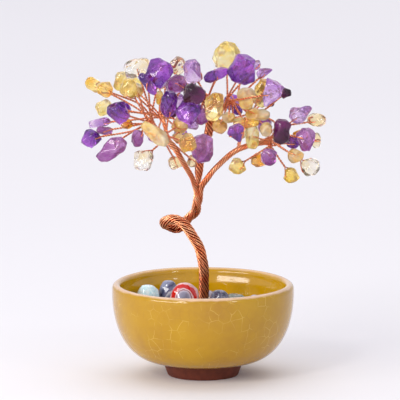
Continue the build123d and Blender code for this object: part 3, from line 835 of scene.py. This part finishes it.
# Chips, by tone: deep and pale screen colour and rounds of wear, then the look of the gem
chip_tones = {
    "violet": dict(deep=(88, 6, 144), pale=(190, 96, 224), wear=12),
    "mauve": dict(deep=(150, 54, 152), pale=(214, 150, 216), wear=16),
    "lilac": dict(deep=(190, 130, 214), pale=(244, 220, 248), wear=14),
    "plum": dict(deep=(54, 6, 42), pale=(124, 42, 108), wear=14),
    "lemon": dict(deep=(255, 226, 84), pale=(255, 246, 196), wear=26),
    "honey": dict(deep=(255, 206, 54), pale=(255, 242, 166), wear=24),
    "peach": dict(deep=(255, 220, 118), pale=(255, 242, 204), wear=26),
    "clear": dict(deep=(255, 242, 210), pale=(255, 253, 248), wear=20),
}
gem_looks = {
    "violet": dict(
        transmission=0.8, milk=0.0, roughness=0.03, gloss=0.4, relief=0.6,
        veil=(230, 194, 248), veil_share=0.32, stain=(70, 0, 112), heart=0.5,
    ),
    "mauve": dict(
        transmission=0.7, milk=0.0, roughness=0.04, gloss=0.4, relief=0.4,
        veil=(240, 210, 244), veil_share=0.35, stain=(118, 30, 118), heart=0.5,
    ),
    "lilac": dict(
        transmission=0.8, milk=0.0, roughness=0.03, gloss=0.4, relief=0.5,
        veil=(252, 244, 254), veil_share=0.35, stain=(166, 92, 202), heart=0.5,
    ),
    "plum": dict(
        transmission=0.5, milk=0.0, roughness=0.03, gloss=0.25, relief=0.4,
        veil=(140, 76, 130), veil_share=0.2, stain=(16, 0, 10), heart=0.4,
    ),
    "lemon": dict(
        transmission=0.76, milk=0.16, roughness=0.04, gloss=0.4, relief=0.3,
        veil=(255, 253, 240), veil_share=0.7, stain=(254, 212, 72), heart=0.8,
    ),
    "honey": dict(
        transmission=0.82, milk=0.1, roughness=0.03, gloss=0.4, relief=0.3,
        veil=(255, 244, 206), veil_share=0.6, stain=(246, 160, 20), heart=0.9,
    ),
    "peach": dict(
        transmission=0.68, milk=0.26, roughness=0.04, gloss=0.4, relief=0.3,
        veil=(255, 251, 242), veil_share=0.6, stain=(254, 192, 68), heart=0.9,
    ),
    "clear": dict(
        transmission=0.92, milk=0.0, roughness=0.02, gloss=0.5, relief=0.3,
        veil=(255, 254, 250), veil_share=0.3, stain=(252, 222, 136), heart=0.7,
    ),
}

# The twigs' last stretches, which end inside the chips
twig_nodes = sorted(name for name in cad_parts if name.endswith("_twigs"))
twig_solids = {node: solids_of(node) for node in twig_nodes}
twig_tips = np.array(
    [
        rings_of(solid, twig_cad_sides, bundle_points)[0][-2:]
        for solids in twig_solids.values()
        for solid in solids
    ]
)


def gap_to_twig(points, centre):
    """How far points of a chip lie from the twig that holds it."""
    start, end = twig_tips[np.argmin(np.linalg.norm(twig_tips[:, 1] - centre, axis=1))]
    way = end - start
    share = np.clip((points - start) @ way / (way @ way), 0, 1)
    return np.linalg.norm(points - start - share[:, None] * way, axis=1)


def chip(corners, deep, pale, wear):
    """One chip as a worn and hollowed stone, with the values that its gem material reads."""
    points, faces = stone_skin(corners, chip_voxel)
    seed = chance.uniform(0, seed_span)
    points = worn(points, faces, wear, chip_back)
    points = lumpy(points, chip_lump_size, chip_lump, seed, chip_hollow_size, chip_hollow)
    centre = points.mean(axis=0)
    longest = np.linalg.eigh(np.cov((points - centre).T))[1][:, 2]
    along = (points - centre) @ longest
    along = (along - along.min()) / np.ptp(along)
    if chance.random() < 0.5:
        along = 1 - along
    heart_reach = chance.uniform(heart_least, heart_most)
    heart = np.clip(1 - gap_to_twig(points, centre) / heart_reach, 0, 1)
    tones = dict(tone_a=ink(*deep), tone_b=ink(*pale))
    return points, faces, dict(seed=seed, along=along, heart=heart, **tones)


chips = []
for tone, look in chip_tones.items():
    material = gem(tone + "_gem", **gem_looks[tone])
    for part in ("left", "middle", "right"):
        node = f"{tone}_chips_{part}"
        shape = Shape()
        for corners, _, _ in solids_of(node):
            points, faces, values = chip(corners, **look)
            shape.add(points, faces, **values)
            chips.append((points.mean(axis=0), BVHTree.FromPolygons(points.tolist(), faces)))
        shape.piece(node + "_gems", [node], f"{tone}_stone", material)


# Twigs: twisted pairs that part at the chip and go into its drilled hole on both sides
def ray_hit(tree, start, way):
    """The first point of a stone's skin on a ray, or None."""
    hit = tree.ray_cast(Vector(start), Vector(way))[0]
    return None if hit is None else np.array(hit)


def thin_way(centre, tree, way):
    """The direction square to a twig in which its chip is thinnest."""
    across = square_to(way)
    up = np.cross(way, across)
    best = None
    for turn in pi * np.arange(thin_tries) / thin_tries:
        out = across * cos(turn) + up * sin(turn)
        ends = [ray_hit(tree, centre, side * out) for side in (1, -1)]
        if any(end is None for end in ends):
            continue
        width = np.linalg.norm(ends[0] - ends[1])
        if best is None or width < best[0]:
            best = (width, out)
    return across if best is None else best[1]


def root_on_bundle(start, way):
    """A point that leads a twig's root back along the bundle it grows from."""
    near = bundle_points[np.argmin(np.linalg.norm(bundle_points - start, axis=1))]
    back = bundle_points[np.linalg.norm(bundle_points - near, axis=1) < twig_root]
    return back[np.argmax((near - back) @ way)]


def over_chip(tree, entry, way, out):
    """Points that lead a wire over one side of its chip and down into it."""
    over = []
    for share in loop_shares:
        spot = entry + way * loop_reach * share
        hit = ray_hit(tree, spot + out * ray_room, -out)
        if hit is not None:
            over.append(hit + out * twig_wire_radius * loop_seat)
    if over:
        over.append(over[-1] + way * dip_along - out * dip_in)
    return over


def twig(shape, solid):
    """One twig as two wires twisted round each other, parting over its chip."""
    centres, _ = rings_of(solid, twig_cad_sides, bundle_points)
    start, end = centres[0], centres[-1]
    knee = centres[1:-1].mean(axis=0) if len(centres) > 2 else (start + end) / 2
    tree = min(chips, key=lambda stone: np.linalg.norm(stone[0] - end))[1]
    way = unit(end - knee)
    entry = ray_hit(tree, knee, way)
    if entry is None:
        entry = end
    root = root_on_bundle(start, unit(knee - start))
    line = smooth_line([root, start, knee, entry - way * split_room], twig_step)
    thin = thin_way(entry + way * loop_reach / 2, tree, way)
    _, sides, ups = line_frames(line[::-1], thin)
    gone = np.arange(len(line)) * np.linalg.norm(line[1] - line[0])
    turn = (2 * pi * gone / twig_pitch)[:, None]
    twisted = (sides * np.cos(turn) + ups * np.sin(turn))[::-1]
    # The second wire is darker all over with painted shade, so the twist shows; both get painted
    # shade on their inner sides
    for side, wire_shade in ((1, 0.0), (-1, twig_wire_shade)):
        wire = line + side * twisted * twig_wire_radius
        outward = side * twisted
        over = over_chip(tree, entry, way, side * thin)
        if over:
            over = smooth_line([wire[-1]] + over, twig_step)[1:]
            wire = np.vstack([wire, over])
            outward = np.vstack([outward, [side * thin] * len(over)])
        shape.tube(wire, twig_wire_radius, twig_wire_sides, outward, wire_shade)


# Twig copper, whose last tone is the painted shade on the wires' inner sides
twig_copper = copper("twig_copper", (252, 190, 146), (250, 154, 106), (160, 46, 18))
for node, solids in twig_solids.items():
    shape = Shape()
    for solid in solids:
        twig(shape, solid)
    shape.piece(node + "_wires", [node], "copper_wire", twig_copper)


# Pebbles
red_low, red_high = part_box("pebble_red_banded")
red_centre = (
    (red_low.x + red_high.x) / 2,
    (red_low.y + red_high.y) / 2,
    red_high.z - red_reach,
)
red_bands = (
    (0.0, (112, 114, 140)),
    (0.36, (150, 148, 174)),
    (0.48, (206, 200, 220)),
    (0.56, (150, 40, 50)),
    (0.62, (244, 232, 240)),
    (0.7, (206, 16, 14)),
    (0.9, (216, 28, 22)),
    (0.96, (236, 190, 192)),
    (1.0, (222, 176, 184)),
)
grey_low, grey_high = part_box("pebble_grey_blue")
grey_centre = (grey_high.x + grey_aside, grey_low.y, grey_low.z)
grey_bands = (
    (0.0, (132, 134, 164)),
    (0.62, (112, 116, 150)),
    (0.72, (212, 218, 226)),
    (0.76, (120, 124, 156)),
    (0.9, (40, 42, 92)),
    (1.0, (132, 140, 170)),
)
pebble_materials = {
    "pebble_blue_white": tumbled(
        "blue_white_stone", (192, 236, 248), (224, 246, 252), (246, 252, 252)
    ),
    "pebble_grey_blue": banded("grey_blue_stone", grey_centre, grey_reach, grey_bands),
    "pebble_red_banded": banded("red_banded_stone", red_centre, red_reach, red_bands),
    "pebble_navy": tumbled("navy_stone", (124, 126, 156), (50, 52, 80), (170, 172, 194)),
    "pebbles_lavender": tumbled(
        "lavender_stone", (138, 134, 158), (168, 162, 184), (208, 204, 214)
    ),
    "pebbles_green_grey": tumbled(
        "green_grey_stone", (108, 122, 112), (134, 138, 136), (176, 184, 172)
    ),
    "pebbles_cream": tumbled("cream_stone", (226, 206, 176), (240, 228, 208), (200, 170, 130)),
    "pebbles_slate": tumbled("slate_stone", (100, 100, 116), (76, 78, 92), (160, 160, 172)),
}
for node, material in pebble_materials.items():
    shape = Shape()
    for corners, _, _ in solids_of(node):
        points, faces = stone_skin(corners, pebble_voxel)
        seed = chance.uniform(0, seed_span)
        points = worn(points, faces, pebble_wear, pebble_back)
        points = lumpy(points, pebble_lump_size, pebble_lump, seed)
        shape.add(points, faces, seed=seed)
    shape.piece(node + "_stone", [node], node, material)


# Bowl and its filling
def belly(reach, bottom, lip):
    """A full curve of the wall as radius and height, from its flat bottom up to the lip."""
    drops = np.cos(np.linspace(0, pi / 2, arc_steps))
    swell = (1 - drops**belly_fullness) ** (1 / belly_fullness)
    return np.column_stack([belly_flat_radius + reach * swell, lip - (lip - bottom) * drops])


def bowl_profile():
    """The bowl's section as radius and height, from the recess round the lip to the inside."""
    _, rim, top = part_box("bowl")[1]
    lip = top - lip_drop
    reach = rim - belly_flat_radius
    outside = belly(reach, foot_height, lip)
    inside = belly(reach - bowl_wall, foot_height + bowl_floor, lip)[::-1]
    flared = np.clip((lip - inside[:, 1]) / flare_depth, 0, 1)
    inside[:, 0] -= lip_flare * flared**2 * (3 - 2 * flared)
    half = bowl_wall / 2
    around = np.linspace(0, pi, lip_steps)[1:-1]
    over = np.column_stack([rim - half + half * np.cos(around), lip + lip_drop * np.sin(around)])
    recess = foot_radius - foot_wall
    foot = [
        (0, foot_recess),
        (recess - foot_edge, foot_recess),
        (recess, foot_recess - foot_edge),
        (recess, foot_edge),
        (recess + foot_edge, 0),
        (foot_radius - foot_edge, 0),
        (foot_radius, foot_edge),
        (foot_top_radius, foot_height - foot_edge),
    ]
    return np.vstack([foot, outside, over, inside, [(0, inside[-1][1])]])


def bowl(material):
    """The bowl turned from its section, with a lip that waves a little."""
    profile = bowl_profile()
    top = profile[:, 1].max()
    turns = np.linspace(0, 2 * pi, turn_steps, endpoint=False)
    wave = 0.5 + 0.3 * np.sin(2 * turns + 0.6) + 0.2 * np.sin(5 * turns)
    loose = np.clip((profile[:, 1] / top - wave_from) / (1 - wave_from), 0, 1) ** 2
    points = []
    for (radius, height), share in zip(profile, loose):
        drop = share * lip_wave * wave
        out = radius - wave_draw * drop * (radius > 0)
        points.append(np.column_stack([out * np.cos(turns), out * np.sin(turns), height - drop]))
    shape = Shape()
    shape.add(np.vstack(points), ring_faces(len(profile), turn_steps))
    piece = shape.piece("glazed_bowl", ["bowl"], "glazed_ceramic", material)
    mesh = bmesh.new()
    mesh.from_mesh(piece.data)
    bmesh.ops.remove_doubles(mesh, verts=mesh.verts, dist=weld)
    bmesh.ops.recalc_face_normals(mesh, faces=mesh.faces)
    mesh.to_mesh(piece.data)
    mesh.free()


bowl(glaze("crackle_glaze"))
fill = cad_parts["plaster_fill"]
fill.data.materials.clear()
fill.data.materials.append(plaster("set_plaster"))

# Floor
bpy.ops.mesh.primitive_grid_add(
    size=floor_width, x_subdivisions=floor_cells, y_subdivisions=floor_cells
)
floor = bpy.context.object
floor.name = "pale_floor"
floor.data.materials.append(paper("pale_floor"))

# World, which gives a plain level of light and looks brighter to the camera, gloss and glass
world = bpy.data.worlds.new("studio")
bpy.context.scene.world = world
world.use_nodes = True
backdrop = world.node_tree.nodes["Background"]
backdrop.inputs["Color"].default_value = ink(*backdrop_tone)
rays = world.node_tree.nodes.new("ShaderNodeLightPath")
shown = rays.outputs["Is Camera Ray"]
for kind in ("Is Glossy Ray", "Is Transmission Ray"):
    most = world.node_tree.nodes.new("ShaderNodeMath")
    most.operation = "MAXIMUM"
    world.node_tree.links.new(shown, most.inputs[0])
    world.node_tree.links.new(rays.outputs[kind], most.inputs[1])
    shown = most.outputs[0]
strength = world.node_tree.nodes.new("ShaderNodeMapRange")
strength.inputs["To Min"].default_value = world_light
strength.inputs["To Max"].default_value = world_shown
world.node_tree.links.new(shown, strength.inputs["Value"])
world.node_tree.links.new(strength.outputs[0], backdrop.inputs["Strength"])


# Lamps
def softbox(name, place, size, power, tint):
    """A lamp with a wide face that is turned to the object."""
    light = bpy.data.lights.new(name, "AREA")
    light.shape = "RECTANGLE"
    light.size, light.size_y = size
    light.energy = power
    light.color = tint
    lamp = bpy.data.objects.new(name, light)
    lamp.location = place
    aim = Vector((0, 0, lamp_target)) - lamp.location
    lamp.rotation_euler = aim.to_track_quat("-Z", "Y").to_euler()
    bpy.context.collection.objects.link(lamp)


softbox("window", place=(-0.82, -0.8, 0.42), size=(1.05, 0.22), power=8, tint=(1.0, 0.98, 0.94))
softbox("glint", place=(-0.6, -1.0, 0.85), size=(0.2, 0.25), power=2.5, tint=(1.0, 0.99, 0.96))
softbox("small_glint", place=(0.8, -0.9, 0.6), size=(0.15, 0.2), power=1.2, tint=(1.0, 1.0, 1.0))
softbox("overhead", place=(0.0, 0.8, 2.0), size=(2.4, 2.4), power=21, tint=(1.0, 1.0, 1.0))

# Camera, which sees the crown and the floor where the photograph has them
pixel = (cad_box[1][0] - cad_box[0][0]) / (crown_right_px - crown_left_px)
camera_data = bpy.data.cameras.new("camera")
camera_data.sensor_width = sensor_mm
camera_data.lens = sensor_mm * camera_distance / (frame_px * pixel)
camera = bpy.data.objects.new("camera", camera_data)
across = (frame_px / 2 - axis_px) * pixel
up = (floor_px - frame_px / 2) * pixel / cos(view_tilt)
back = Vector((0, -cos(view_tilt), sin(view_tilt)))
camera.location = Vector((across, 0, up)) + camera_distance * back
camera.rotation_euler = (pi / 2 - view_tilt, 0, 0)
bpy.context.collection.objects.link(camera)
bpy.context.scene.camera = camera
bpy.context.scene.view_settings.view_transform = "Standard"
